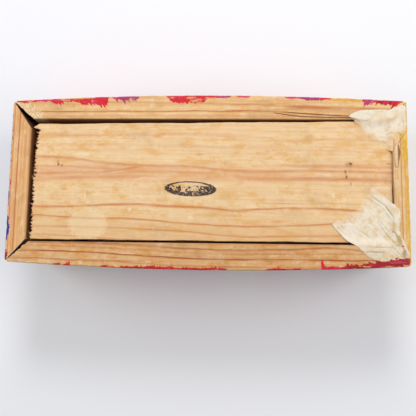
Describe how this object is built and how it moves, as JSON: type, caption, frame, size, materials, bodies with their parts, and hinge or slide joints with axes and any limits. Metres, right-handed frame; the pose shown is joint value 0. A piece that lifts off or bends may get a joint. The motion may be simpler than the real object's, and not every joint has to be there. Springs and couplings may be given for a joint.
{
  "type": "boxed jigsaw puzzle",
  "caption": "Long softwood box with mitred walls, inset bottom panel and sliding lid, holding a wooden jigsaw puzzle in stacked layers, lying underside up.",
  "frame": {"origin": "centre of the box, on the plane of the lid-side rims that the turned-over box lies on", "axes": "+X along the box towards the end where the lid slides out, +Y across it, +Z out of its underside, which is up as it lies"},
  "size_m": [0.1603, 0.0708, 0.0402],
  "materials": {
    "painted_wall_wood": "bare old softwood on the rims and inside, worn hand-brushed paint on the outer face",
    "panel_wood": "bare planed softwood, yellowed, with scratches, one end torn by the saw",
    "lid_wood": "planed softwood, painted on its outer face, bare inside",
    "brad_steel": "darkened iron wire brads with traces of rust",
    "patch_paper": "cream glued paper, wrinkled, with paint specks",
    "puzzle_wood": null
  },
  "bodies": {
    "box": {"long_wall_north": "painted_wall_wood", "long_wall_south": "painted_wall_wood", "end_wall_left": "painted_wall_wood", "end_wall_right": "painted_wall_wood", "bottom_panel": "panel_wood", "bottom_brads": "brad_steel", "corner_brads": "brad_steel", "paper_patch_ne": "patch_paper", "paper_patch_se": "patch_paper"},
    "lid": {"sliding_lid": "lid_wood"},
    "layer_1": {"jigsaw_piece_r1_c1": "puzzle_wood", "jigsaw_piece_r1_c2": "puzzle_wood", "jigsaw_piece_r2_c1": "puzzle_wood", "jigsaw_piece_r2_c2": "puzzle_wood", "jigsaw_piece_r3_c1": "puzzle_wood", "jigsaw_piece_r3_c2": "puzzle_wood", "jigsaw_piece_r4_c1": "puzzle_wood", "jigsaw_piece_r4_c2": "puzzle_wood"},
    "layer_2": {"jigsaw_piece_r1_c3": "puzzle_wood", "jigsaw_piece_r1_c4": "puzzle_wood", "jigsaw_piece_r2_c3": "puzzle_wood", "jigsaw_piece_r2_c4": "puzzle_wood", "jigsaw_piece_r3_c3": "puzzle_wood", "jigsaw_piece_r3_c4": "puzzle_wood", "jigsaw_piece_r4_c3": "puzzle_wood", "jigsaw_piece_r4_c4": "puzzle_wood"},
    "layer_3": {"jigsaw_piece_r1_c5": "puzzle_wood", "jigsaw_piece_r1_c6": "puzzle_wood", "jigsaw_piece_r2_c5": "puzzle_wood", "jigsaw_piece_r2_c6": "puzzle_wood", "jigsaw_piece_r3_c5": "puzzle_wood", "jigsaw_piece_r3_c6": "puzzle_wood", "jigsaw_piece_r4_c5": "puzzle_wood", "jigsaw_piece_r4_c6": "puzzle_wood"}
  },
  "joints": [
    {"name": "lid_slide", "type": "slide", "parent": "box", "child": "lid", "axis": [1, 0, 0], "range_m": [0, 0.15]},
    {"name": "layer_1_lift", "type": "slide", "parent": "box", "child": "layer_1", "axis": [0, 0, 1], "range_m": [0, 0.0053]},
    {"name": "layer_2_lift", "type": "slide", "parent": "box", "child": "layer_2", "axis": [0, 0, 1], "range_m": [0, 0.0053]},
    {"name": "layer_3_lift", "type": "slide", "parent": "box", "child": "layer_3", "axis": [0, 0, 1], "range_m": [0, 0.0053]}
  ],
  "couplings": [
    {"joint": "layer_2_lift", "follows": "layer_1_lift", "ratio": 1},
    {"joint": "layer_3_lift", "follows": "layer_1_lift", "ratio": 1}
  ]
}
